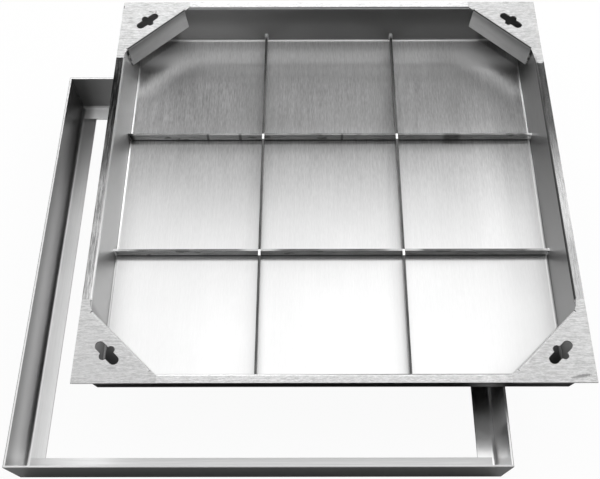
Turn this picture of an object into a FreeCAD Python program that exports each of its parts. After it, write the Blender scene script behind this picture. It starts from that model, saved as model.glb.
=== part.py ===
# Recessed paving cover: a folded square tray with four welded corner plates
# and a grid of ribs, laid on the top edges of its welded square frame.
import FreeCAD, Part
import Sketcher
import os

MM_SIZES = [
    # tray pan
    ("tray_w", 600.0),         # outside of the rim, both ways
    ("sheet_t", 2.0),          # sheet of the pan and of the corner plates
    ("rim_w", 11.5),           # rim's outer edge to the sharp corner with the wall
    ("tray_depth", 57.5),      # rim's top to the floor's top
    ("wall_lean", 8.8),        # degrees, walls run inward toward the floor
    ("rim_bend", 1.5),         # inside radius of the bend under the rim
    ("floor_bend", 3.5),       # inside radius of the bend at the floor
    # corner plates
    ("plate_span", 106.5),     # sum of the two legs at the folded edge
    ("plate_tip", 9.5),        # width left at the plate's end on the front or back rim
    ("tongue_l", 11.5),        # tongue on the side rim, past the corner with the folded edge
    ("tongue_w", 10.5),        # width of the tongue on the side rim
    ("tongue_curve", 25.0),    # radius of the hollow curve into the tongue
    ("lip_h", 29.5),           # folded lip, from the plate's top down
    ("lip_lean", 8.5),         # degrees, lip runs toward the middle of the tray
    ("lip_bend", 1.5),         # inside radius of the lip's bend
    ("lip_gap_side", 0.3),     # between the lip's end and the side wall
    ("lip_gap_end", 2.5),      # between the lip's end and the front or back wall
    ("lip_relief", 1.0),       # slit beside the lip's bend
    ("key_from_fold", 22.3),   # folded edge to the keyhole's middle
    ("key_pitch", 25.0),       # between the centres of the long slot's ends
    ("key_r", 6.0),
    ("cross_pitch", 11.7),     # between the centres of the two side lobes
    ("cross_r", 4.75),
    # ribs
    ("rib_t", 3.0),
    ("rib_h", 12.0),
    ("rib_x", 93.0),           # ribs along Y stand this far left and right
    ("rib_back", 91.5),        # rear rib from the tray's middle
    ("rib_front", 96.5),       # front rib from the tray's middle
    ("lap_gap", 0.2),          # play of a rib in the slot of the other
    # frame
    ("frame_w", 587.0),        # outside at the top edge, both ways
    ("frame_h", 60.0),
    ("frame_t", 2.5),
    ("frame_lean", 6.0),       # degrees, walls run inward toward the ledge
    ("frame_bend", 5.0),       # inside radius of the bend at the ledge
    ("ledge_w", 22.0),         # wall's foot to the ledge's free edge
    # the tray's place on the frame
    ("shift_x", 87.0),
    ("shift_y", 85.5),
    # how far a cut runs past what it cuts
    ("over", 4.0),
]

doc = FreeCAD.newDocument("paving_cover")
sheet = doc.addObject("Spreadsheet::Sheet", "Sizes")
for row, (alias, number) in enumerate(MM_SIZES, start=1):
    sheet.set("A%d" % row, alias)
    sheet.set("B%d" % row, str(number))
    sheet.setAlias("B%d" % row, alias)
doc.recompute()

# Angles and lengths that several outlines share, written as expressions.
TAN_WALL = "tan(Sizes.wall_lean * 1 deg)"
COS_WALL = "cos(Sizes.wall_lean * 1 deg)"
TAN_LIP = "tan(Sizes.lip_lean * 1 deg)"
SIN_LIP = "sin(Sizes.lip_lean * 1 deg)"
COS_LIP = "cos(Sizes.lip_lean * 1 deg)"
TAN_FRAME = "tan(Sizes.frame_lean * 1 deg)"
SIN_FRAME = "sin(Sizes.frame_lean * 1 deg)"
COS_FRAME = "cos(Sizes.frame_lean * 1 deg)"
ROOT_TWO = "sqrt(2)"
TRAY_H = "(Sizes.sheet_t + Sizes.tray_depth)"
FLOOR_HALF = f"(Sizes.tray_w / 2 - Sizes.rim_w - Sizes.tray_depth * {TAN_WALL})"
PLATE_END = "(Sizes.plate_span - Sizes.plate_tip)"
TONGUE_END = "(Sizes.plate_span - Sizes.tongue_w + Sizes.tongue_l)"
FRAME_X = "(-(Sizes.tray_w / 2 + Sizes.shift_x - Sizes.frame_w / 2) / 2)"
FRAME_Y = "(-(Sizes.tray_w / 2 + Sizes.shift_y - Sizes.frame_w / 2) / 2)"


def number(expression):
    """Value of an expression over the named sizes."""
    value = sheet.evalExpression(expression.replace("Sizes.", ""))
    return float(getattr(value, "Value", value))


def plane(body, role):
    return [o for o in body.Origin.OriginFeatures if o.Role == role][0]


def new_body(label):
    body = doc.addObject("PartDesign::Body", label)
    body.Label = label
    return body


def new_sketch(body, name, role, lift=None):
    """Sketch on one of the body's own planes, lifted along the plane's normal."""
    sketch = body.newObject("Sketcher::SketchObject", name)
    sketch.AttachmentSupport = [(plane(body, role), "")]
    sketch.MapMode = "FlatFace"
    if lift:
        sketch.setExpression("AttachmentOffset.Base.z", lift)
    return sketch


def pin(sketch, geo, pos, x, y):
    """Both coordinates of a point of the sketch follow the named sizes."""
    for kind, text in (("DistanceX", x), ("DistanceY", y)):
        index = sketch.addConstraint(
            Sketcher.Constraint(kind, -1, 1, geo, pos, number(text)))
        sketch.setExpression("Constraints[%d]" % index, text)


def outline(sketch, corners):
    """Closed outline. A corner is (x, y) or (x, y, radius, bulge); the longer
    kind starts an arc to the next corner, bulging left (1) or right (-1)."""
    spots = [FreeCAD.Vector(number(c[0]), number(c[1]), 0) for c in corners]
    first = sketch.GeometryCount
    count = len(corners)
    for i, corner in enumerate(corners):
        start, end = spots[i], spots[(i + 1) % count]
        if len(corner) == 2:
            sketch.addGeometry(Part.LineSegment(start, end), False)
            continue
        chord = end - start
        radius = number(corner[2])
        rise = radius - max(radius ** 2 - chord.Length ** 2 / 4, 0.0) ** 0.5
        left = FreeCAD.Vector(-chord.y, chord.x, 0).normalize()
        top = (start + end) * 0.5 + left * (rise * corner[3])
        sketch.addGeometry(Part.Arc(start, top, end), False)
    for i, corner in enumerate(corners):
        after = (i + 1) % count
        sketch.addConstraint(Sketcher.Constraint(
            "Coincident",
            first + i, end_at(sketch, first + i, spots[after]),
            first + after, end_at(sketch, first + after, spots[after])))
        if len(corner) == 4:
            index = sketch.addConstraint(
                Sketcher.Constraint("Radius", first + i, number(corner[2])))
            sketch.setExpression("Constraints[%d]" % index, corner[2])
    for i, corner in enumerate(corners):
        pin(sketch, first + i, end_at(sketch, first + i, spots[i]), corner[0], corner[1])


def end_at(sketch, geo, spot):
    """1 or 2, whichever end of the sketch line or arc lies on the spot."""
    if sketch.getPoint(geo, 1).distanceToPoint(spot) < 1e-4:
        return 1
    return 2


def circle(sketch, x, y, radius):
    spot = FreeCAD.Vector(number(x), number(y), 0)
    geo = sketch.addGeometry(
        Part.Circle(spot, FreeCAD.Vector(0, 0, 1), number(radius)), False)
    index = sketch.addConstraint(Sketcher.Constraint("Radius", geo, number(radius)))
    sketch.setExpression("Constraints[%d]" % index, radius)
    pin(sketch, geo, 3, x, y)


def pad(body, name, sketch, length, both_ways=False, backward=False, taper=None):
    feature = body.newObject("PartDesign::Pad", name)
    feature.Profile = sketch
    feature.setExpression("Length", length)
    feature.Midplane = both_ways
    feature.Reversed = backward
    if taper:
        feature.setExpression("TaperAngle", taper)
    doc.recompute()
    return feature


def cut(body, name, sketch, length=None, backward=False, taper=None):
    """Pocket of a given depth, or through everything both ways."""
    feature = body.newObject("PartDesign::Pocket", name)
    feature.Profile = sketch
    feature.Reversed = backward
    if length:
        feature.setExpression("Length", length)
    else:
        feature.Type = "ThroughAll"
        feature.Midplane = True
    if taper:
        feature.setExpression("TaperAngle", taper)
    doc.recompute()
    return feature


def rounded(body, name, base, radius, wanted):
    """Round the edges of the base feature that the test picks."""
    names = ["Edge%d" % (i + 1) for i, e in enumerate(base.Shape.Edges) if wanted(e)]
    feature = body.newObject("PartDesign::Fillet", name)
    feature.Base = (base, names)
    feature.setExpression("Radius", radius)
    doc.recompute()
    return feature


def square(half):
    return [(f"-{half}", f"-{half}"), (half, f"-{half}"), (half, half), (f"-{half}", half)]


def level_edge(height, half):
    """Test for the four level edges of a square at one height."""
    def wanted(edge):
        box = edge.BoundBox
        reach = max(abs(box.XMin), abs(box.XMax), abs(box.YMin), abs(box.YMax))
        level = abs(box.ZMin - height) < 1e-3 and abs(box.ZMax - height) < 1e-3
        return level and abs(reach - half) < 1e-2
    return wanted


# Folded pan of the tray: floor, four leaning walls and the rim turned outward.
def tray_pan():
    body = new_body("tray_pan")
    thick = "Sizes.sheet_t"
    outer_foot = f"({FLOOR_HALF} + {thick} / {COS_WALL} - {thick} * {TAN_WALL})"
    under_rim = f"({TRAY_H} - {thick})"
    rim_corner = "(Sizes.tray_w / 2 - Sizes.rim_w)"
    foot = new_sketch(body, "pan_outside", "XY_Plane")
    outline(foot, square(outer_foot))
    pad(body, "pan_block", foot, TRAY_H, taper="Sizes.wall_lean * 1 deg")
    rim = new_sketch(body, "rim_outline", "XY_Plane", under_rim)
    outline(rim, square("(Sizes.tray_w / 2)"))
    pad(body, "rim_sheet", rim, thick)
    hollow = new_sketch(body, "pan_inside", "XY_Plane", TRAY_H)
    outline(hollow, square(rim_corner))
    base = cut(body, "pan_hollow", hollow, "Sizes.tray_depth", taper="-Sizes.wall_lean * 1 deg")
    outer_at_rim = f"({outer_foot} + {under_rim} * {TAN_WALL})"
    base = rounded(body, "floor_inside_bend", base, "Sizes.floor_bend",
                   level_edge(number(thick), number(FLOOR_HALF)))
    base = rounded(body, "floor_outside_bend", base, f"Sizes.floor_bend + {thick}",
                   level_edge(0.0, number(outer_foot)))
    base = rounded(body, "rim_inside_bend", base, "Sizes.rim_bend",
                   level_edge(number(under_rim), number(outer_at_rim)))
    base = rounded(body, "rim_outside_bend", base, f"Sizes.rim_bend + {thick}",
                   level_edge(number(TRAY_H), number(rim_corner)))
    seats = new_sketch(body, "plate_seats", "XY_Plane", TRAY_H)
    edge = "(Sizes.tray_w / 2 + Sizes.over)"
    near_x = f"(Sizes.tray_w / 2 - {PLATE_END})"
    near_y = f"(Sizes.tray_w / 2 - {TONGUE_END})"
    for sx, sy in ((1, 1), (-1, 1), (-1, -1), (1, -1)):
        outline(seats, [(f"{sx} * {near_x}", f"{sy} * {near_y}"),
                        (f"{sx} * {edge}", f"{sy} * {near_y}"),
                        (f"{sx} * {edge}", f"{sy} * {edge}"),
                        (f"{sx} * {near_x}", f"{sy} * {edge}")])
    cut(body, "plate_seat_cuts", seats, thick)
    place_on_tray(body)
    return body


def place_on_tray(body, x="0", y="0", z="0", turn=0.0):
    """Tray parts stand on the frame's top edges, moved back and to the right."""
    body.Placement = FreeCAD.Placement(
        FreeCAD.Vector(0, 0, 0), FreeCAD.Rotation(FreeCAD.Vector(0, 0, 1), turn))
    body.setExpression("Placement.Base.x", f"{FRAME_X} + Sizes.shift_x + {x}")
    body.setExpression("Placement.Base.y", f"{FRAME_Y} + Sizes.shift_y + {y}")
    body.setExpression("Placement.Base.z", f"Sizes.frame_h + {z}")


# Corner plate with its folded lip and cross-shaped keyhole. The body's X runs
# along the folded edge and its Y from the rim's corner to the tray's middle.
def corner_plate(label, side_x, side_y):
    body = new_body(label)
    thick = "Sizes.sheet_t"
    hand = -side_x * side_y
    fold = f"(Sizes.plate_span / {ROOT_TWO})"
    half_turn = "tan((90 - Sizes.lip_lean) / 2 * 1 deg)"
    bend_run = f"((Sizes.lip_bend + {thick}) * {half_turn})"
    inner_run = f"(Sizes.lip_bend * {half_turn})"
    lip_foot = f"(Sizes.lip_h * {TAN_LIP})"
    wall_foot = f"(Sizes.rim_w + Sizes.lip_h * {TAN_WALL})"
    reach = f"({fold} + {lip_foot} - {thick} / {COS_LIP})"
    side_end = f"({reach} - {ROOT_TWO} * ({wall_foot} + Sizes.lip_gap_side))"
    far_end = f"({reach} - {ROOT_TWO} * ({wall_foot} + Sizes.lip_gap_end))"

    def across(u, v):
        """Point given by its distances from the side edge and the end edge."""
        return (f"({hand} * (({v}) - ({u})) / {ROOT_TWO})", f"((({u}) + ({v})) / {ROOT_TWO})")

    def along(s, y):
        """Point on a line parallel to the folded edge, the side rim positive."""
        return (f"({hand} * ({s}))", y)

    face = new_sketch(body, label + "_face", "XY_Plane")
    outline(face, [
        across("0", "0"),
        across(PLATE_END, "0"),
        across(PLATE_END, "Sizes.plate_tip"),
        along(f"-({far_end} + Sizes.lip_relief)", fold),
        along(f"-({far_end} + Sizes.lip_relief)", f"({fold} - {bend_run})"),
        along(f"({side_end} + Sizes.lip_relief)", f"({fold} - {bend_run})"),
        along(f"({side_end} + Sizes.lip_relief)", fold) + ("Sizes.tongue_curve", -hand),
        across("Sizes.tongue_w", f"({TONGUE_END} - Sizes.lip_relief)"),
        across("Sizes.tongue_w", TONGUE_END),
        across("0", TONGUE_END),
    ])
    pad(body, label + "_sheet", face, thick, backward=True)

    first_end = far_end if hand > 0 else side_end
    section = new_sketch(body, label + "_lip_section", "YZ_Plane", f"-{first_end}")
    inner = f"({fold} - {thick} / {COS_LIP} + {thick} * {TAN_LIP})"
    outline(section, [
        (f"({fold} - {bend_run})", "0", f"(Sizes.lip_bend + {thick})", 1),
        (f"({fold} + {bend_run} * {SIN_LIP})", f"(-{bend_run} * {COS_LIP})"),
        (f"({fold} + {lip_foot})", "(-Sizes.lip_h)"),
        (reach, "(-Sizes.lip_h)"),
        (f"({inner} + {inner_run} * {SIN_LIP})", f"(-{thick} - {inner_run} * {COS_LIP})",
         "Sizes.lip_bend", -1),
        (f"({inner} - {inner_run})", f"(-{thick})"),
    ])
    pad(body, label + "_lip", section, f"{far_end} + {side_end}")

    key = f"({fold} - Sizes.key_from_fold)"
    slot = new_sketch(body, label + "_slot", "XY_Plane")
    outline(slot, [
        ("(-Sizes.key_pitch / 2)", f"({key} - Sizes.key_r)"),
        ("(Sizes.key_pitch / 2)", f"({key} - Sizes.key_r)"),
        ("(Sizes.key_pitch / 2)", f"({key} + Sizes.key_r)"),
        ("(-Sizes.key_pitch / 2)", f"({key} + Sizes.key_r)"),
    ])
    cut(body, label + "_slot_cut", slot, thick)
    ends = new_sketch(body, label + "_slot_ends", "XY_Plane")
    circle(ends, "(-Sizes.key_pitch / 2)", key, "Sizes.key_r")
    circle(ends, "(Sizes.key_pitch / 2)", key, "Sizes.key_r")
    cut(body, label + "_slot_end_cuts", ends, thick)
    lobes = new_sketch(body, label + "_lobes", "XY_Plane")
    circle(lobes, "0", f"({key} - Sizes.cross_pitch / 2)", "Sizes.cross_r")
    circle(lobes, "0", f"({key} + Sizes.cross_pitch / 2)", "Sizes.cross_r")
    cut(body, label + "_lobe_cuts", lobes, thick)
    turn = {(-1, -1): -45.0, (1, -1): 45.0, (1, 1): 135.0, (-1, 1): -135.0}[(side_x, side_y)]
    place_on_tray(body, f"{side_x} * Sizes.tray_w / 2", f"{side_y} * Sizes.tray_w / 2",
                  TRAY_H, turn)
    return body


# Flat bar on edge on the tray's floor. It fits between two opposite walls, its
# lower corners are cut off to clear the floor bend, and it is slotted to half
# its height where the bars of the other direction cross it.
def rib(label, place, crossings, slots_on_top, runs_in_x):
    body = new_body(label)
    end_low = f"({FLOOR_HALF} - Sizes.floor_bend)"
    end_mid = f"({FLOOR_HALF} + Sizes.floor_bend * {TAN_WALL})"
    end_top = f"({FLOOR_HALF} + Sizes.rib_h * {TAN_WALL})"
    half_slot = "((Sizes.rib_t + Sizes.lap_gap) / 2)"
    middle = "(Sizes.rib_h / 2)"
    slots = []
    for x in crossings:
        level = "Sizes.rib_h" if slots_on_top else "0"
        slots.append([(f"({x} - {half_slot})", level), (f"({x} - {half_slot})", middle),
                      (f"({x} + {half_slot})", middle), (f"({x} + {half_slot})", level)])
    flat = [spot for slot in slots for spot in slot]
    bottom = [] if slots_on_top else flat
    top = flat[::-1] if slots_on_top else []
    profile = new_sketch(body, label + "_profile", "XZ_Plane" if runs_in_x else "YZ_Plane")
    outline(profile, [(f"-{end_low}", "0")] + bottom + [
        (end_low, "0"),
        (end_mid, "Sizes.floor_bend"),
        (end_top, "Sizes.rib_h")] + top + [
        (f"-{end_top}", "Sizes.rib_h"),
        (f"-{end_mid}", "Sizes.floor_bend")])
    pad(body, label + "_bar", profile, "Sizes.rib_t", both_ways=True)
    if runs_in_x:
        place_on_tray(body, y=place, z="Sizes.sheet_t")
    else:
        place_on_tray(body, x=place, z="Sizes.sheet_t")
    return body


def frame_section():
    """Section of a frame member: leaning wall, bend and ledge, wall at the left."""
    thick = "Sizes.frame_t"
    half_turn = "tan((90 - Sizes.frame_lean) / 2 * 1 deg)"
    inner_run = f"(Sizes.frame_bend * {half_turn})"
    outer_run = f"((Sizes.frame_bend + {thick}) * {half_turn})"
    outer = f"(-Sizes.frame_w / 2 + Sizes.frame_h * {TAN_FRAME})"
    inner_top = f"(-Sizes.frame_w / 2 + {thick} / {COS_FRAME})"
    inner = f"({inner_top} + (Sizes.frame_h - {thick}) * {TAN_FRAME})"
    return {
        "outer_top": ("(-Sizes.frame_w / 2)", "Sizes.frame_h"),
        "outer_low": (f"({outer} - {outer_run} * {SIN_FRAME})", f"({outer_run} * {COS_FRAME})"),
        "outer_foot": (f"({outer} + {outer_run})", "0"),
        "edge_foot": (f"({inner} + Sizes.ledge_w)", "0"),
        "edge_top": (f"({inner} + Sizes.ledge_w)", thick),
        "inner_foot": (f"({inner} + {inner_run})", thick),
        "inner_low": (f"({inner} - {inner_run} * {SIN_FRAME})",
                      f"({thick} + {inner_run} * {COS_FRAME})"),
        "inner_top": (inner_top, "Sizes.frame_h"),
        "inner_r": "Sizes.frame_bend",
        "outer_r": f"(Sizes.frame_bend + {thick})",
    }


def mirrored(spots):
    """The same outline on the other side; arcs then bulge the other way."""
    return [(f"(-({c[0]}))", c[1]) + ((c[2], -c[3]) if len(c) == 4 else ()) for c in spots]


def frame_profile(body, name, role):
    s = frame_section()
    sketch = new_sketch(body, name, role)
    outline(sketch, [
        s["outer_top"],
        s["outer_low"] + (s["outer_r"], -1),
        s["outer_foot"],
        s["edge_foot"],
        s["edge_top"],
        s["inner_foot"] + (s["inner_r"], 1),
        s["inner_low"],
        s["inner_top"],
    ])
    return sketch


# Front and back members of the frame run its full width. Their ends are cut to
# the outer face and bend of the side members.
def frame_end_member(label, turn):
    body = new_body(label)
    pad(body, label + "_sheet", frame_profile(body, label + "_section", "YZ_Plane"),
        "Sizes.frame_w", both_ways=True)
    s = frame_section()
    outside = "(-Sizes.frame_w / 2 - Sizes.over)"
    end_cut = [
        s["outer_top"],
        s["outer_low"] + (s["outer_r"], -1),
        s["outer_foot"],
        (s["outer_foot"][0], "(-Sizes.over)"),
        (outside, "(-Sizes.over)"),
        (outside, "(Sizes.frame_h + Sizes.over)"),
        (s["outer_top"][0], "(Sizes.frame_h + Sizes.over)"),
    ]
    ends = new_sketch(body, label + "_end_shape", "XZ_Plane")
    outline(ends, end_cut)
    outline(ends, mirrored(end_cut))
    cut(body, label + "_end_cuts", ends)
    place_frame(body, turn)
    return body


# Side members stand between the front and back members. Their ends are coped
# to the inner face, the bend and the ledge of those.
def frame_side_member(label, turn):
    body = new_body(label)
    pad(body, label + "_sheet", frame_profile(body, label + "_section", "XZ_Plane"),
        "Sizes.frame_w", both_ways=True)
    s = frame_section()
    outside = "(-Sizes.frame_w / 2 - Sizes.over)"
    cope = [
        (s["inner_top"][0], "(Sizes.frame_h + Sizes.over)"),
        s["inner_top"],
        s["inner_low"] + (s["inner_r"], -1),
        s["inner_foot"],
        s["edge_top"],
        (s["edge_foot"][0], "(-Sizes.over)"),
        (outside, "(-Sizes.over)"),
        (outside, "(Sizes.frame_h + Sizes.over)"),
    ]
    ends = new_sketch(body, label + "_cope_shape", "YZ_Plane")
    outline(ends, cope)
    outline(ends, mirrored(cope))
    cut(body, label + "_copes", ends)
    place_frame(body, turn)
    return body


def place_frame(body, turn):
    body.Placement = FreeCAD.Placement(
        FreeCAD.Vector(0, 0, 0), FreeCAD.Rotation(FreeCAD.Vector(0, 0, 1), turn))
    body.setExpression("Placement.Base.x", FRAME_X)
    body.setExpression("Placement.Base.y", FRAME_Y)


ALONG_X = ("(-Sizes.rib_x)", "Sizes.rib_x")
ALONG_Y = ("(-Sizes.rib_front)", "Sizes.rib_back")
parts = [
    tray_pan(),
    corner_plate("corner_plate_front_left", -1, -1),
    corner_plate("corner_plate_front_right", 1, -1),
    corner_plate("corner_plate_back_right", 1, 1),
    corner_plate("corner_plate_back_left", -1, 1),
    rib("rib_cross_front", "(-Sizes.rib_front)", ALONG_X, True, True),
    rib("rib_cross_back", "Sizes.rib_back", ALONG_X, True, True),
    rib("rib_long_left", "(-Sizes.rib_x)", ALONG_Y, False, False),
    rib("rib_long_right", "Sizes.rib_x", ALONG_Y, False, False),
    frame_end_member("frame_front", 0.0),
    frame_end_member("frame_back", 180.0),
    frame_side_member("frame_left", 0.0),
    frame_side_member("frame_right", 180.0),
]

doc.recompute()
for thing in doc.Objects:
    if "Invalid" in thing.State or "Error" in thing.State:
        raise RuntimeError("%s is not valid" % thing.Name)
for part in parts:
    if part.Shape.isNull() or not part.Shape.isValid() or len(part.Shape.Solids) != 1:
        raise RuntimeError("%s has no sound solid" % part.Label)

os.makedirs("parts", exist_ok=True)
for part in parts:
    part.Shape.exportStep("parts/%s.step" % part.Label)
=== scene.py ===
"""Recessed paving cover: looks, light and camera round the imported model.

A square stainless tray lies on its square frame, moved to the back and to the right.
All lengths are in metres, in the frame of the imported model.
"""

import math
from types import SimpleNamespace

import bpy
from mathutils import Matrix, Vector


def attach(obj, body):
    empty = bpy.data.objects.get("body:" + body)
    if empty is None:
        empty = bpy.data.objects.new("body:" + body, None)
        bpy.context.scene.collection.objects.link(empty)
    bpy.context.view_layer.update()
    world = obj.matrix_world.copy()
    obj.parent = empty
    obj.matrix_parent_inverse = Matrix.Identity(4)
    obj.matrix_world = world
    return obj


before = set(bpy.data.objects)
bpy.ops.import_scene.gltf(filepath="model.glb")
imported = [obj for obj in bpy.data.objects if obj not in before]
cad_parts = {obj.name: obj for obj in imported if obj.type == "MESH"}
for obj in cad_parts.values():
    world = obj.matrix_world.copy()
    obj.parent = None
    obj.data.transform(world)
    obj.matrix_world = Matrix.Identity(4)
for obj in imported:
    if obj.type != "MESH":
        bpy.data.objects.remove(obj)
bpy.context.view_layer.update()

# Places that the finishes and the small welds need, as the metalwork has them.
TRAY_X, TRAY_Y = 0.04025, 0.0395      # middle of the tray
TRAY_HALF = 0.300                     # tray's half width, over the rim
RIM_IN = 0.2885                       # rim's inner edge from the tray's middle
RIM_TOP = 0.1195
WALL_LEAN = math.radians(8.8)         # the tray's walls run inward toward the floor
RIB_SIDE = 0.093                      # long ribs left and right of the tray's middle
RIB_FRONT, RIB_BACK = 0.0965, 0.0915  # cross ribs in front of and behind it
RIB_HALF = 0.0015                     # half a rib's thickness
FRAME_X, FRAME_Y = -0.04675, -0.046   # middle of the frame
FRAME_HALF = 0.2935

ACROSS = (1.0, 0.0, 0.0)              # grain from left to right
ALONG = (0.0, 1.0, 0.0)               # grain from front to back


# --- numbers that vary over a surface ---------------------------------------

class Field:
    """A number that a node gives at each spot. Arithmetic on it adds the next node."""

    def __init__(self, tree, socket):
        self.tree, self.socket = tree, socket

    def __add__(self, other):
        return maths("ADD", self, other)

    def __sub__(self, other):
        return maths("SUBTRACT", self, other)

    def __mul__(self, other):
        return maths("MULTIPLY", self, other)

    def __truediv__(self, other):
        return maths("DIVIDE", self, other)

    def __pow__(self, other):
        return maths("POWER", self, other)

    def __neg__(self):
        return maths("MULTIPLY", self, -1.0)

    def __abs__(self):
        return maths("ABSOLUTE", self)


def add(tree, kind, settings=None, **inputs):
    """A node with its settings, its inputs set to values or linked to sockets."""
    node = tree.nodes.new(kind)
    for name, value in (settings or {}).items():
        setattr(node, name, value)
    for name, value in inputs.items():
        feed(tree, node.inputs[name.replace("_", " ")], value)
    return node


def feed(tree, socket, value):
    """Links a field, a socket or a node's first output to the socket, or sets it to a plain value."""
    if isinstance(value, Field):
        tree.links.new(value.socket, socket)
    elif isinstance(value, bpy.types.NodeSocket):
        tree.links.new(value, socket)
    elif isinstance(value, bpy.types.Node):
        tree.links.new(value.outputs[0], socket)
    else:
        socket.default_value = value


def maths(operation, first, *others):
    node = add(first.tree, "ShaderNodeMath", {"operation": operation})
    for place, value in enumerate((first, *others)):
        feed(first.tree, node.inputs[place], value)
    return Field(first.tree, node.outputs[0])


def either(first, *others):
    """The largest of some fields: with masks, where at least one of them holds."""
    for other in others:
        first = maths("MAXIMUM", first, other)
    return first


def mapped(value, settings, from_low, from_high, to_low, to_high):
    node = add(value.tree, "ShaderNodeMapRange", settings, Value=value, From_Min=from_low, From_Max=from_high,
               To_Min=to_low, To_Max=to_high)
    return Field(value.tree, node.outputs[0])


def step(value, low, high):
    """0 on low's side, 1 on high's side, smooth between them."""
    return mapped(value, {"interpolation_type": "SMOOTHSTEP"}, low, high, 0.0, 1.0)


def spread(value, low, high):
    """Stretches a 0 to 1 value over low to high."""
    return mapped(value, None, 0.0, 1.0, low, high)


def mix(share, first, second):
    """The first value where share is 0, the second where it is 1."""
    node = add(share.tree, "ShaderNodeMix", {"data_type": "FLOAT"})
    for place, value in ((0, share), (2, first), (3, second)):
        feed(share.tree, node.inputs[place], value)
    return Field(share.tree, node.outputs[0])


def mix_vector(share, first, second):
    node = add(share.tree, "ShaderNodeMix", {"data_type": "VECTOR"})
    for place, value in ((0, share), (4, first), (5, second)):
        feed(share.tree, node.inputs[place], value)
    return node.outputs[1]


def parts(tree, vector):
    split = add(tree, "ShaderNodeSeparateXYZ", Vector=vector).outputs
    return [Field(tree, split[axis]) for axis in "XYZ"]


def plain_grey(tree, level):
    """A colour with the same level of red, green and blue."""
    colour = add(tree, "ShaderNodeCombineColor")
    for channel in range(3):
        feed(tree, colour.inputs[channel], level)
    return colour


# --- finishes ---------------------------------------------------------------

def new_steel(name):
    """An empty steel, with the place on the piece and how far each face looks along each axis."""
    material = bpy.data.materials.new(name)
    material.use_nodes = True
    tree = material.node_tree
    tree.nodes.clear()
    spot = add(tree, "ShaderNodeTexCoord").outputs
    x, y, z = parts(tree, spot["Object"])
    look_x, look_y, look_z = parts(tree, spot["Normal"])
    return SimpleNamespace(material=material, tree=tree, place=spot["Object"], x=x, y=y, z=z,
                           look_x=look_x, look_y=look_y, look_z=look_z)


def finish_steel(steel, grey, gloss, height, depth, grain, stretch):
    """Closes a steel: grey and roughness from the marks, bump from their height, grain along a direction."""
    tree = steel.tree
    bump = add(tree, "ShaderNodeBump", Strength=1.0, Distance=depth, Height=height)
    facing = add(tree, "ShaderNodeNewGeometry").outputs["Normal"]
    across_grain = add(tree, "ShaderNodeVectorMath", {"operation": "CROSS_PRODUCT"})
    feed(tree, across_grain.inputs[0], grain)
    feed(tree, across_grain.inputs[1], facing)
    shader = add(tree, "ShaderNodeBsdfPrincipled")
    shader.inputs["Specular IOR Level"].default_value = 0.0
    shader.inputs["Metallic"].default_value = 1.0
    shader.inputs["Anisotropic"].default_value = stretch
    feed(tree, shader.inputs["Base Color"], plain_grey(tree, grey))
    feed(tree, shader.inputs["Roughness"], gloss)
    feed(tree, shader.inputs["Normal"], bump)
    feed(tree, shader.inputs["Tangent"], across_grain)
    out = add(tree, "ShaderNodeOutputMaterial")
    tree.links.new(shader.outputs[0], out.inputs[0])
    return steel.material


def noise(steel, marks, detail=2.0, rough=0.5):
    """Soft noise, with so many marks in a metre: one number, or one for each axis."""
    place, scale = steel.place, marks
    if isinstance(marks, tuple):
        place = add(steel.tree, "ShaderNodeVectorMath", {"operation": "MULTIPLY"})
        feed(steel.tree, place.inputs[0], steel.place)
        feed(steel.tree, place.inputs[1], marks)
        scale = 1.0
    node = add(steel.tree, "ShaderNodeTexNoise", Vector=place, Scale=scale, Detail=detail, Roughness=rough)
    return Field(steel.tree, node.outputs[0])


def bold(value):
    """Draws a soft noise out to nearly 0 and nearly 1."""
    return step(value, 0.32, 0.68)


def ground_marks(steel):
    """Grey, roughness and height of the coarse grinding across the front and back rims and the corner plates."""
    fine = bold(noise(steel, (300.0, 1200.0, 1200.0), 3.0, 0.6))
    strokes = bold(noise(steel, (95.0, 450.0, 450.0), 3.0, 0.6))
    patches = bold(noise(steel, (22.0, 60.0, 60.0)))
    grey = spread(strokes, 0.41, 0.58) + spread(fine, -0.07, 0.07) + spread(patches, -0.03, 0.03)
    gloss = spread(strokes, 0.38, 0.52) + spread(patches, -0.05, 0.05)
    return grey, gloss, strokes + fine * 0.5


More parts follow.
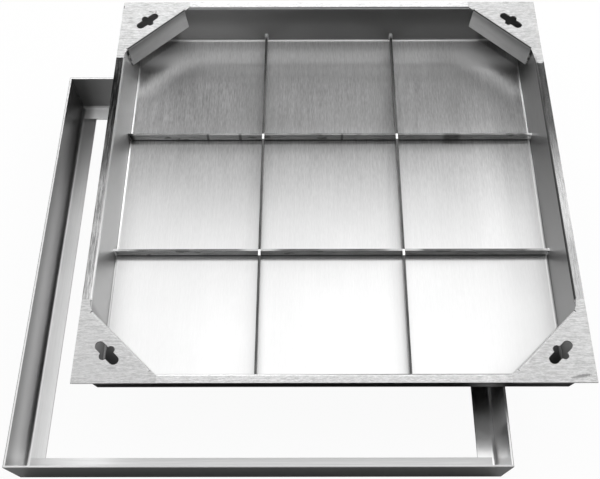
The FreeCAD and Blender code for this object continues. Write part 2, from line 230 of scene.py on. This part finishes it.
def pan_places(steel):
    """Masks for the places of the pan, each 1 where its name holds."""
    x, y, z, up = steel.x, steel.y, steel.z, steel.look_z
    at = SimpleNamespace()
    at.from_x, at.from_y = abs(x - TRAY_X), abs(y - TRAY_Y)
    at.right = step(x, -0.1, 0.1)
    at.rear = step(y, -0.12, 0.08)
    at.rim = step(up, 0.90, 0.97) * step(z, 0.112, 0.116)
    at.wall = step(up, 0.5, 0.25)
    at.end_wall = step(abs(steel.look_y), 0.5, 0.8)
    at.outside = step(-up, 0.05, 0.09)
    at.cut_edge = step(z, 0.1165, 0.1168) * step(abs(up), 0.3, 0.1)
    bend = step(up, 0.22, 0.30) * step(up, 0.99, 0.95)
    at.floor_bend = bend * step(z, 0.072, 0.070)
    at.floor_crease = at.floor_bend * step(up, 0.50, 0.62)
    at.rim_bend = bend * step(z, 0.110, 0.112)

    # Ground across: the front and back rims, and at the back also the side rims beside the plates' tongues,
    # up to a wavy, rounded edge where the welds were ground down.
    rim_middle = 0.2945
    wobble = spread(noise(steel, 420.0), -0.0012, 0.0012)
    past_tongue = spread(step(x, 0.0, 0.1), 0.1915, 0.1800)
    round_end = ((at.from_x - rim_middle) * 170.0) ** 2.0 * 0.0035
    welded = step(at.from_y - (past_tongue + round_end + wobble), 0.0, 0.001) * step(y, 0.0, 0.01)
    at.ground = at.rim * either(welded, step(at.from_y, RIM_IN - 0.002, RIM_IN - 0.001))

    # Floor and walls in the dark under the corner plates.
    drawn_in = spread(step(y, 0.1, -0.1), 0.0, 0.021)
    under_plate = step(at.from_x + at.from_y + drawn_in, 0.499, 0.509)
    at.shaded = either(under_plate * either(step(up, 0.5, 0.7), step(y, 0.0, 0.1)),
                       under_plate * spread(step(x, 0.0, -0.1), 0.0, 0.45))
    return at


def pan_floor_grey(steel, fine, lines, clouds, brushed):
    """Brushing and soft clouds, with painted light: a little lighter along the back wall, beside the side walls and
    ahead of the back rib, and a little darker in the back middle.
    """
    x, y = steel.x, steel.y
    marks = spread(fine, -0.040, 0.040) + spread(lines, -0.020, 0.025)
    # Painted light: a band lighter along the back wall.
    grey = marks * brushed + spread(clouds, 0.61, 0.71) + step(y - TRAY_Y, 0.205, 0.235) * 0.26
    back_left = step(x, -0.165, -0.225) * step(y, 0.10, 0.22)
    back_middle = step(x, -0.15, -0.05) * step(y, 0.13, 0.17) * step(y, 0.25, 0.22)
    by_right_wall = step(x, 0.215, 0.275)
    before_back_rib = step(y, 0.135, 0.125)
    left_and_middle = before_back_rib * step(x, 0.22, 0.12)
    right_middle = by_right_wall * before_back_rib * step(y, -0.07, -0.05)
    back_right = by_right_wall * step(y, 0.13, 0.15)
    # Painted light and shade: lighter at the back left, the back right, ahead of the back rib and by the right wall in
    # the middle; darker in the back middle.
    grey = grey * (spread(back_left, 1.0, 1.32) - back_middle * 0.10)
    return grey * (spread(back_right, 1.0, 1.30) + left_and_middle * 0.06 + right_middle * 0.16)


def pan_steel():
    """Floor and side rims brushed front to back, front and back rims ground across, outside painted dark as shade."""
    steel = new_steel("pan_brushed_steel")
    at = pan_places(steel)
    x, y = steel.x, steel.y
    fine = bold(noise(steel, (1000.0, 85.0, 160.0), 2.0, 0.6))
    lines = bold(noise(steel, (420.0, 14.0, 60.0), 3.0, 0.6))
    streaks = bold(noise(steel, (500.0, 30.0, 60.0), 3.0, 0.7))
    clouds = noise(steel, (14.0, 9.0, 14.0), 3.0)
    ground_grey, ground_gloss, ground_height = ground_marks(steel)
    brushed = spread(step(y, -0.16, -0.03), 0.22, 0.48) + step(y, -0.01, 0.13) * 0.95

    # Floor, walls and the bends between them, with painted light and shade: the walls' greys change from front to back
    # and between left and right.
    back_share = step(y, -0.15, 0.25)
    side_wall = mix(at.right, spread(back_share, 0.35, 0.43), spread(back_share, 0.44, 0.27))
    end_wall = spread(step(x, -0.14, 0.06), 0.54, 0.32)
    grey = pan_floor_grey(steel, fine, lines, clouds, brushed)
    grey = mix(at.wall, grey, mix(at.end_wall, side_wall, end_wall))
    # Painted shade: the bend between floor and walls darker.
    grey = mix(at.floor_bend * 0.7, grey, 0.12)
    # Painted highlight along the crease, brightest toward the back.
    grey = mix(at.floor_crease, grey, spread(at.rear, spread(at.right, 0.30, 0.60), 1.0))
    grey = mix(at.shaded * spread(step(y, 0.0, 0.1), 0.85, 0.48), grey, 0.06)
    # Painted light and shade on the bend at the rims' inner edge: dark on the right and front rims, lighter on the left
    # rim toward the front and on the back rim.
    side_bend = mix(at.right, spread(at.rear, 0.55, 0.30), 0.08)
    grey = mix(at.rim_bend, grey, mix(at.end_wall, side_bend, spread(at.rear, 0.20, 0.70)))

    # Rims, outside and the sheet's cut edge, with painted light on the rims and painted shade outside.
    midway = step(abs(y - 0.01), 0.11, 0.03)
    streaked = mix(at.right, spread(streaks, 0.14, 0.38), spread(streaks, 0.23, 0.30)) + spread(fine, -0.03, 0.03)
    # Painted light: the left rim lighter toward the front, the right rim lightest at its middle.
    rim_level = mix(at.right, spread(step(y, 0.06, 0.0), 0.9, 1.22), spread(midway, 1.40, 1.95))
    grey = mix(at.rim, grey, streaked * rim_level)
    # Painted light: the ground rims lighter between the plates, more at the back.
    between_plates = step(at.from_x, 0.26, 0.17) * spread(at.rear, 0.34, 0.50)
    grey = mix(at.ground, grey, ground_grey * (between_plates + 1.08))
    # Painted shade: the outside dark, darkest on the front face.
    front_outside = step(steel.look_y, -0.5, -0.8)
    grey = mix(at.outside, grey, mix(front_outside, spread(clouds, 0.10, 0.22), spread(clouds, 0.22, 0.34)))
    grey = mix(at.cut_edge, grey, 0.85)

    gloss = (spread(fine, -0.015, 0.015) + spread(lines, -0.01, 0.01)) * brushed + 0.335
    by_back_wall = step(y, 0.260, 0.274) * step(steel.look_z, 0.5, 0.7)
    gloss = mix(by_back_wall, gloss, spread(step(y, 0.268, 0.285), 0.48, 0.62))
    gloss = mix(at.rim_bend, gloss, 0.45)
    gloss = mix(at.rim, gloss, mix(at.right, spread(streaks, 0.16, 0.26), spread(streaks, 0.21, 0.24)))
    gloss = mix(at.ground, gloss, ground_gloss)
    gloss = mix(at.outside, gloss, 0.35)
    gloss = mix(at.cut_edge, gloss, 0.5)

    height = mix(at.rim, (fine * 0.5 + lines) * brushed, streaks * spread(at.right, 0.9, 0.25))
    height = mix(at.ground, height, ground_height)
    grain = mix_vector(at.ground, ALONG, ACROSS)
    return finish_steel(steel, grey, gloss, height, 0.000006, grain, 0.8)


# Dirt and scratches on the plates: middle, half lengths, slope and grey that each is left with.
SMUDGES = (
    (0.3235, -0.2525, 0.0125, 0.0022, 0.16, 0.28),
    (0.3150, -0.2545, 0.0060, 0.0013, 0.05, 0.34),
    (-0.2150, -0.2420, 0.0060, 0.0018, 0.10, 0.38),
    (-0.2300, -0.2370, 0.0050, 0.0010, -0.10, 0.42),
    (-0.2585, 0.3300, 0.0008, 0.0028, 0.0, 0.10),
    (-0.2185, 0.3205, 0.0042, 0.0008, -0.35, 0.12),
    (-0.2115, 0.3190, 0.0010, 0.0045, 0.0, 0.30),
)


def smudge(steel, x, y, wide, deep, slope):
    """A ragged dirty spot, longer one way than the other."""
    aside = steel.x - x
    ahead = steel.y - y - aside * slope
    far = abs(aside / wide) ** 2.0 + abs(ahead / deep) ** 2.0
    ragged = spread(noise(steel, 600.0, 3.0, 0.7), -1.0, 1.0)
    return step(far + ragged * 1.2, 1.2, 0.2)


def plate_steel():
    """Top ground across as the rims it runs into, lip as rolled, the fold between them painted dark as shade."""
    steel = new_steel("plate_ground_steel")
    x, y, z, up = steel.x, steel.y, steel.z, steel.look_z
    ground, ground_gloss, height = ground_marks(steel)
    # Painted light: every plate lighter except the back right one.
    level = spread(step(y, 0.1, -0.1), spread(step(x, 0.0, -0.1), 1.0, 1.10), 1.1)
    top = step(up, 0.9, 0.97)
    fold = step(up, 0.50, 0.70) * step(up, 0.97, 0.9)
    rolled = spread(noise(steel, (60.0, 60.0, 200.0), 3.0), -0.05, 0.05)
    lip = spread(step(z, 0.1180, 0.1040), 0.31, 0.49) + rolled
    outward = steel.look_x * (x - TRAY_X) + steel.look_y * (y - TRAY_Y)
    behind_lip = step(outward, 0.1, 0.2) * step(z, 0.1170, 0.1160)

    grey = mix(top, lip, ground * level)
    # Painted shade in the fold, darkest on the back plates.
    grey = mix(fold, grey, spread(step(y, -0.1, 0.1), 0.34, 0.07))
    for at_x, at_y, wide, deep, slope, dirt in SMUDGES:
        grey = mix(smudge(steel, at_x, at_y, wide, deep, slope), grey, dirt)
    # Painted shade under the plate and behind the lip.
    grey = mix(either(step(up, -0.3, -0.6), behind_lip), grey, 0.09)
    gloss = mix(fold, mix(top, 0.3, ground_gloss), 0.5)
    return finish_steel(steel, grey, gloss, height, 0.00002, ACROSS, 0.6)


# Stains on the back cross rib: place along it and half width.
RIB_STAINS = ((-0.130, 0.0022), (-0.085, 0.0026), (0.057, 0.0022), (0.210, 0.0150))


def cross_rib_greys(steel, fine, from_middle):
    """Sides painted bright as lit and lighter toward the left, the sheared top darker and lighter on the back rib, with
    a painted highlight on the front rib's top near the crossings and ends.
    """
    by_crossing = step(abs(from_middle - RIB_SIDE), 0.032, 0.012)
    # Painted highlight on the front rib's top near the crossings and at the ends.
    painted_top_glint = either(by_crossing, step(from_middle, 0.245, 0.265)) * step(steel.y, 0.05, 0.0)
    # Painted light: the top lighter on the back rib, the sides bright as lit and lighter toward the left.
    top = spread(fine, 0.06, 0.13) * spread(step(steel.y, -0.05, 0.12), 1.7, 2.7)
    side = spread(fine, 0.55, 0.75) * spread(step(steel.x, 0.0, -0.14), 1.0, 1.35)
    return side, mix(painted_top_glint, top, 0.50)


def rib_steel(grain):
    """Rolled bar, painted brighter on the cross ribs as lit, with painted highlights at the ends and by the crossings,
    heat marks by the welds and a painted shadow along the foot.
    """
    across = grain == ACROSS
    steel = new_steel("rib_bar_steel_" + ("across" if across else "along"))
    fine = bold(noise(steel, (30.0, 600.0, 600.0) if across else (600.0, 30.0, 600.0), 3.0, 0.6))
    burns = step(noise(steel, (34.0, 34.0, 90.0)), 0.60, 0.66)
    top = step(steel.look_z, 0.6, 0.8)
    from_middle = abs(steel.x - TRAY_X) if across else abs(steel.y - TRAY_Y)
    # Painted highlight at the ribs' ends.
    bright = step(from_middle, 0.270, 0.279)
    if across:
        side_grey, top_grey = cross_rib_greys(steel, fine, from_middle)
    else:
        side_grey, top_grey = spread(fine, 0.16, 0.26), spread(fine, 0.06, 0.13)
        # Painted highlight on the long ribs by the crossings.
        for crossing in (TRAY_Y - RIB_FRONT, TRAY_Y + RIB_BACK):
            bright = either(bright, step(abs(steel.y - (crossing - 0.0035)), 0.0050, 0.0040))

    grey = mix(burns * 0.6, mix(top, side_grey, top_grey), 0.12)
    if across:
        for along, wide in RIB_STAINS:
            stain = step(abs(steel.x - along), wide, wide * 0.5) * step(steel.y, 0.0, 0.1)
            grey = mix(stain * spread(burns, 0.7, 0.9), grey, 0.10)
        scorched = step(steel.x, -0.228, -0.236) * step(steel.y, 0.05, 0.10)
        # Painted highlight at the ends, and a dark scorch mark at the back rib's left end.
        grey = mix(either(bright, scorched), grey, spread(scorched, 0.9, 0.05))
    else:
        grey = mix(bright, grey, 0.9)
    # Painted contact shadow: a dark band along the rib's foot.
    grey = mix(step(steel.z, 0.0640, 0.0632), grey, 0.08)
    gloss = mix(top, spread(fine, 0.25, 0.35), 0.5)
    return finish_steel(steel, grey, gloss, fine, 0.00001, grain, 0.4)


def frame_steel(grain):
    """Brushed sheet along each member: pale ledge, walls and outside painted dark as shade, painted highlight on the
    top edge.
    """
    across = grain == ACROSS
    steel = new_steel("frame_brushed_steel_" + ("across" if across else "along"))
    x, y, z, up = steel.x, steel.y, steel.z, steel.look_z
    fine = bold(noise(steel, (14.0, 500.0, 500.0) if across else (500.0, 14.0, 500.0), 3.0, 0.6))
    clouds = noise(steel, (9.0, 9.0, 20.0), 3.0)
    outside = step(-up, 0.05, 0.09)
    wall = step(up, 0.05, 0.09) * step(up, 0.3, 0.2)
    ledge = step(up, 0.3, 0.5) * step(z, 0.02, 0.01)
    edge = step(up, 0.6, 0.8) * step(z, 0.0585, 0.059)

    grey = spread(fine, 0.53, 0.57) + spread(clouds, -0.08, 0.08)
    gloss = spread(fine, 0.28, 0.32)
    # Painted shade: the walls darker toward the back and toward the top.
    grey = mix(wall, grey, spread(step(y, 0.16, -0.10), 0.48, 0.84) * spread(step(z, 0.028, 0.058), 1.0, 0.45))
    if across:
        back, front = step(y, 0.15, 0.2), step(y, -0.25, -0.3)
        back_corner = step(x, -0.310, -0.325) * step(y, 0.0, 0.1)
        # Painted shade on the back member's wall; painted light on its ledge and on the front ledge, less toward the
        # front ledge's left end.
        grey = mix(wall * back, grey, 0.34)
        grey = mix(ledge * back, grey, 0.95)
        grey = mix(ledge * front, grey, spread(fine, 0.62, 0.72) * spread(step(x, -0.32, -0.24), 0.76, 1.0))
        gloss = mix(back * either(wall, ledge), gloss, 0.6)
    else:
        left_back = step(x, -0.2, -0.3) * ledge * step(y, -0.02, 0.06)
        right = step(x, 0.15, 0.20) * either(wall, ledge)
        back_corner = step(y - x, 0.38, 0.50)
        # Painted light: the left ledge lighter toward the back, the right member's wall and ledge light.
        grey = mix(right, grey * spread(left_back, 1.0, 1.18), 0.95)
        right_gloss = mix(step(y, -0.232, -0.280), 0.28, spread(step(y, -0.276, -0.298), 0.66, 0.28))
        gloss = mix(right, gloss, right_gloss)
    # Painted shade in the back corner, on its ledge less than on its wall.
    grey = mix(back_corner, grey, spread(ledge, 0.25, 0.42))
    # Painted shade: the outside dark.
    grey = mix(outside, grey, spread(fine, 0.085, 0.125))
    # Painted highlight along the top edge, darker at its outer corner.
    from_middle = either(abs(x - FRAME_X), abs(y - FRAME_Y))
    grey = mix(edge, grey, spread(step(from_middle, FRAME_HALF - 0.0009, FRAME_HALF - 0.0004), 0.8, 0.30))
    gloss = mix(edge, gloss, 0.5)
    return finish_steel(steel, grey, gloss, fine, 0.000004, grain, 0.5)


def dress():
    """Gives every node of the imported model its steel, and returns the steel of the plates."""
    plate = plate_steel()
    frame_across, frame_along = frame_steel(ACROSS), frame_steel(ALONG)
    rib_across, rib_along = rib_steel(ACROSS), rib_steel(ALONG)
    wear = {
        "tray_pan": pan_steel(),
        "frame_front": frame_across, "frame_back": frame_across,
        "frame_left": frame_along, "frame_right": frame_along,
        "rib_cross_front": rib_across, "rib_cross_back": rib_across,
        "rib_long_left": rib_along, "rib_long_right": rib_along,
    }
    for name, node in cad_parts.items():
        material = wear.get(name, plate)
        if node.material_slots:
            for slot in node.material_slots:
                slot.material = material
        else:
            node.data.materials.append(material)
    return plate


# --- welds ------------------------------------------------------------------

def weld_steel(name, dull, bright):
    """Weld metal: a light grey on the crests, a darker one between them, and a few dark spots of scale."""
    steel = new_steel(name)
    crests = bold(noise(steel, 700.0))
    scale_spots = step(noise(steel, 260.0, 3.0), 0.58, 0.66)
    grey = mix(scale_spots, spread(crests, dull, bright), 0.12)
    return finish_steel(steel, grey, spread(crests, 0.28, 0.5), crests, 0.00008, ACROSS, 0.0)


def weld_tree():
    """Turns lines into welds: a row of overlapping drops, each a little different in size and turn."""
    tree = bpy.data.node_groups.new("weld_run", "GeometryNodeTree")
    face = tree.interface
    for name, kind in (("Lines", "NodeSocketGeometry"), ("Bead radius", "NodeSocketFloat"),
                       ("Ripple pitch", "NodeSocketFloat"), ("Seed", "NodeSocketInt"),
                       ("Weld metal", "NodeSocketMaterial")):
        face.new_socket(name, in_out="INPUT", socket_type=kind)
    face.new_socket("Welds", in_out="OUTPUT", socket_type="NodeSocketGeometry")
    given = add(tree, "NodeGroupInput").outputs
    path = add(tree, "GeometryNodeMeshToCurve", Mesh=given["Lines"])
    spots = add(tree, "GeometryNodeResampleCurve", {"mode": "LENGTH"}, Curve=path, Length=given["Ripple pitch"])
    drop = add(tree, "GeometryNodeMeshUVSphere", Segments=8, Rings=5, Radius=1.0)
    size = add(tree, "FunctionNodeRandomValue", {"data_type": "FLOAT"}, Seed=given["Seed"])
    feed(tree, size.inputs[2], 0.8)
    feed(tree, size.inputs[3], 1.15)
    turn = add(tree, "FunctionNodeRandomValue", {"data_type": "FLOAT_VECTOR"}, Seed=given["Seed"])
    feed(tree, turn.inputs[1], (6.28, 6.28, 6.28))
    radius = Field(tree, size.outputs[1]) * given["Bead radius"]
    row = add(tree, "GeometryNodeInstanceOnPoints", Points=spots, Instance=drop, Rotation=turn.outputs[0], Scale=radius)
    solid = add(tree, "GeometryNodeRealizeInstances", Geometry=row)
    smooth = add(tree, "GeometryNodeSetShadeSmooth", Geometry=solid)
    finished = add(tree, "GeometryNodeSetMaterial", Geometry=smooth, Material=given["Weld metal"])
    out = add(tree, "NodeGroupOutput")
    tree.links.new(finished.outputs[0], out.inputs[0])
    return tree


def weld_run(tree, metal, name, lines, radius, pitch, seed):
    """One piece of welds along straight lines, each given by its two ends."""
    mesh = bpy.data.meshes.new(name)
    mesh.from_pydata([end for line in lines for end in line], [(2 * i, 2 * i + 1) for i in range(len(lines))], [])
    piece = bpy.data.objects.new(name, mesh)
    bpy.context.scene.collection.objects.link(piece)
    modifier = piece.modifiers.new("weld_run", "NODES")
    modifier.node_group = tree
    keys = {item.name: item.identifier for item in tree.interface.items_tree if item.in_out == "INPUT"}
    for label, value in (("Bead radius", radius), ("Ripple pitch", pitch), ("Seed", seed), ("Weld metal", metal)):
        modifier[keys[label]] = value
    ready = piece.evaluated_get(bpy.context.evaluated_depsgraph_get())
    piece.data = bpy.data.meshes.new_from_object(ready)
    piece.modifiers.clear()
    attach(piece, "root")


def wall_at(z):
    """The tray walls' inner face from the tray's middle, at a height."""
    return RIM_IN - (RIM_TOP - z) * math.tan(WALL_LEAN)


def lip_end_at(z):
    """Where a lip's end meets the side wall, across and along from the tray's middle, at a height."""
    above_lower_edge = z - 0.090
    return 0.2831 + above_lower_edge * 0.16, 0.2052 + above_lower_edge * 0.16


def welds():
    """Beads at the ends and crossings of the ribs, at the ends of the lips and up the frame's corners."""
    tree = weld_tree()
    clean, burnt = weld_steel("weld_bead_steel", 0.45, 0.85), weld_steel("weld_burnt_steel", 0.10, 0.22)
    corners = [(side, end) for side in (-1, 1) for end in (-1, 1)]
    rib_xs = (TRAY_X - RIB_SIDE, TRAY_X + RIB_SIDE)
    rib_ys = (TRAY_Y - RIB_FRONT, TRAY_Y + RIB_BACK)

    # Each weld runs between two heights. Where it leans with a wall, its two ends stand apart in plan too.
    at_wall = [(wall_at(z) - 0.0004, z) for z in (0.0645, 0.0725)]
    at_lip = [[(*lip_end_at(z), z) for z in heights] for heights in ((0.0945, 0.0970), (0.1035, 0.1060))]
    in_frame_corner = ((0.2857, 0.010), (0.2907, 0.0570))

    ends, scorched_end = [], []
    for side in (-1, 1):
        for flank in (-RIB_HALF, RIB_HALF):
            for y in rib_ys:
                row = scorched_end if side < 0 and y > TRAY_Y else ends
                row.append([(TRAY_X + side * reach, y + flank, z) for reach, z in at_wall])
            for x in rib_xs:
                ends.append([(x + flank, TRAY_Y + side * reach, z) for reach, z in at_wall])
    crossings = [[(x + side * RIB_HALF, y + end * RIB_HALF, z) for z in (0.0630, 0.0725)]
                 for x in rib_xs for y in rib_ys for side, end in corners]
    tacks = [[(TRAY_X + side * across, TRAY_Y + end * along, z) for across, along, z in tack]
             for side, end in corners for tack in at_lip]
    frame_corners = [[(FRAME_X + side * reach, FRAME_Y + end * reach, z) for reach, z in in_frame_corner]
                     for side, end in corners]

    weld_run(tree, clean, "rib_end_welds", ends, 0.0015, 0.0012, 3)
    weld_run(tree, burnt, "rib_scorched_welds", scorched_end, 0.0015, 0.0012, 13)
    weld_run(tree, burnt, "rib_crossing_welds", crossings, 0.0008, 0.0009, 5)
    weld_run(tree, clean, "lip_tack_welds", tacks, 0.0013, 0.0010, 7)
    weld_run(tree, burnt, "frame_corner_welds", frame_corners, 0.0010, 0.0009, 11)


def tongue_fill(metal):
    """Weld metal ground flush that carries the back right plate's tongue further along the rim."""
    by_plate = [(0.28950, 0.1925), (0.28935, 0.1965), (0.28879, 0.20074), (0.28770, 0.2043),
                (0.28603, 0.20747), (0.28816, 0.2096), (0.28745, 0.2103)]
    free_side = [(0.2848, 0.2089), (0.2862, 0.2023), (0.2876, 0.1955), (0.2887, 0.1885),
                 (0.2893, 0.1815), (0.2900, 0.1815)]
    outline = [(TRAY_X + x, TRAY_Y + y) for x, y in by_plate + free_side]
    count = len(outline)
    top = [(x, y, RIM_TOP - 0.00002) for x, y in outline]
    underside = [(x + 0.0010, y + 0.0005, RIM_TOP - 0.0018) for x, y in outline]
    sides = [(i, (i + 1) % count, count + (i + 1) % count, count + i) for i in range(count)]
    mesh = bpy.data.meshes.new("tongue_weld_fill")
    mesh.from_pydata(underside + top, [], [tuple(range(count - 1, -1, -1)), tuple(range(count, 2 * count))] + sides)
    piece = bpy.data.objects.new("tongue_weld_fill", mesh)
    bpy.context.scene.collection.objects.link(piece)
    mesh.materials.append(metal)
    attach(piece, "root")


# --- light, floor and camera ------------------------------------------------

def mirrored_rays(tree):
    """The light path, and a mask for rays that come off a mirror or through glass."""
    ray = add(tree, "ShaderNodeLightPath").outputs
    return ray, either(Field(tree, ray["Is Glossy Ray"]), Field(tree, ray["Is Transmission Ray"]))


def studio_world():
    """White behind the object, and elsewhere light from low down that fades upward."""
    world = bpy.data.worlds.new("studio")
    bpy.context.scene.world = world
    world.use_nodes = True
    tree = world.node_tree
    tree.nodes.clear()
    height = parts(tree, add(tree, "ShaderNodeTexCoord").outputs["Generated"])[2]
    above = step(height, 0.05, 0.45)
    ray, mirrored = mirrored_rays(tree)
    level = mix(mirrored, spread(above, 0.5, 0.03), spread(above, 0.8, 0.03))
    level = mix(Field(tree, ray["Is Camera Ray"]), level, 1.0)
    light = add(tree, "ShaderNodeBackground", Color=(1.0, 1.0, 1.0, 1.0), Strength=level)
    out = add(tree, "ShaderNodeOutputWorld")
    tree.links.new(light.outputs[0], out.inputs[0])


# Soft lamps: name, place, what each faces, width, depth, and level, where 1 looks white in a mirror.
LAMPS = (
    ("over_tray", (0.0, 0.5, 2.0), (0.0, 0.5, 0.0), 3.6, 1.1, 1.54),
    ("over_fade", (0.0, 1.25, 2.0), (0.0, 1.25, 0.0), 3.6, 0.4, 1.34),
    ("over_far", (0.0, 2.7, 2.0), (0.0, 2.2, 0.0), 3.6, 0.7, 1.22),
    ("over_near", (0.0, -0.45, 2.0), (0.0, -0.45, 0.0), 3.6, 0.6, 0.52),
    ("back_panel", (0.0, 2.8, 0.9), (0.0, 0.0, 0.2), 5.0, 1.5, 4.3),
    ("right_back", (2.3, 1.5, 1.5), (0.0, 0.0, 0.1), 1.2, 1.2, 4.5),
    ("right_over", (2.3, 0.2, 2.0), (0.0, 0.0, 0.1), 1.5, 1.0, 2.45),
    ("left_side", (-2.6, -0.2, 1.1), (0.0, 0.0, 0.1), 1.5, 1.2, 1.0),
    ("front_left", (-1.6, -1.3, 1.9), (0.0, 0.0, 0.0), 1.3, 1.0, 0.39),
    ("front_top", (0.0, -1.4, 2.1), (0.0, -0.1, 0.0), 2.4, 0.9, 0.11),
)


def lights():
    for name, place, toward, wide, deep, level in LAMPS:
        data = bpy.data.lights.new(name, "AREA")
        data.shape = "RECTANGLE"
        data.size, data.size_y = wide, deep
        data.energy = level * math.pi * wide * deep
        lamp = bpy.data.objects.new(name, data)
        lamp.visible_camera = False
        lamp.location = place
        lamp.rotation_euler = (Vector(toward) - Vector(place)).to_track_quat("-Z", "Y").to_euler()
        bpy.context.scene.collection.objects.link(lamp)


def pale_floor():
    """Keeps the object's shadow, shows white in the steel where it lies open, and fades out far off."""
    radius, corners = 2.5, 96
    turns = [math.tau * i / corners for i in range(corners)]
    mesh = bpy.data.meshes.new("pale_floor")
    mesh.from_pydata([(radius * math.cos(a), radius * math.sin(a), -0.0002) for a in turns], [], [list(range(corners))])
    floor = bpy.data.objects.new("pale_floor", mesh)
    bpy.context.scene.collection.objects.link(floor)
    material = bpy.data.materials.new("pale_floor")
    material.use_nodes = True
    tree = material.node_tree
    tree.nodes.clear()
    place = add(tree, "ShaderNodeTexCoord").outputs["Object"]
    x, y, _ = parts(tree, place)
    ray, mirrored = mirrored_rays(tree)
    past_frame = either(abs(x - FRAME_X), abs(y - FRAME_Y)) - FRAME_HALF
    past_tray = either(abs(x - TRAY_X), abs(y - TRAY_Y)) - TRAY_HALF

    # Painted shadow: to mirrored rays the floor beside the tray is dark, so steel close above the floor mirrors a dark
    # gap there.
    beside_tray = mirrored * step(past_tray, 0.06, 0.02)
    paint = add(tree, "ShaderNodeBsdfDiffuse", Color=plain_grey(tree, spread(beside_tray, 0.9, 0.08)))
    white = add(tree, "ShaderNodeEmission", Color=(1.0, 1.0, 1.0, 1.0), Strength=1.0)
    clear_of_tray = step(past_tray, 0.03, 0.20)
    round_both = step(past_frame, 0.03, 0.20) * clear_of_tray
    left_of_tray = step(past_tray, 0.0, 0.04) * step(x, -0.24, -0.27)
    inside_frame = step(past_frame, -0.02, -0.04) * either(left_of_tray, clear_of_tray)
    open_floor = mirrored * either(round_both, inside_frame)
    seen_white = either(Field(tree, ray["Is Camera Ray"]) * 0.95, open_floor * 0.85)
    shown = add(tree, "ShaderNodeMixShader")
    far_off = add(tree, "ShaderNodeVectorMath", {"operation": "LENGTH"})
    feed(tree, far_off.inputs[0], place)
    faded = add(tree, "ShaderNodeMixShader")
    fade = step(Field(tree, far_off.outputs["Value"]), 1.2, 2.4)
    for shader, share, first, second in ((shown, seen_white, paint, white),
                                         (faded, fade, shown, add(tree, "ShaderNodeBsdfTransparent"))):
        for socket, value in enumerate((share, first, second)):
            feed(tree, shader.inputs[socket], value)
    out = add(tree, "ShaderNodeOutputMaterial")
    tree.links.new(faded.outputs[0], out.inputs[0])
    mesh.materials.append(material)


def camera():
    """The photograph's view, fitted to the straight edges of the rim and the frame."""
    data = bpy.data.cameras.new("photo_camera")
    data.sensor_width = 36.0
    data.lens = 55.845
    data.shift_x, data.shift_y = -0.02217, 0.02127
    data.clip_start, data.clip_end = 0.05, 50.0
    cam = bpy.data.objects.new("photo_camera", data)
    down, tilt = math.radians(59.1135), math.radians(-0.0966)
    turn = Matrix.Rotation(math.pi / 2 - down, 4, "X") @ Matrix.Rotation(tilt, 4, "Z")
    cam.matrix_world = Matrix.Translation((0.016735, -0.675574, 1.102045)) @ turn
    bpy.context.scene.collection.objects.link(cam)
    bpy.context.scene.camera = cam


plate_metal = dress()
welds()
tongue_fill(plate_metal)
studio_world()
lights()
pale_floor()
camera()
bpy.context.scene.view_settings.view_transform = "Standard"
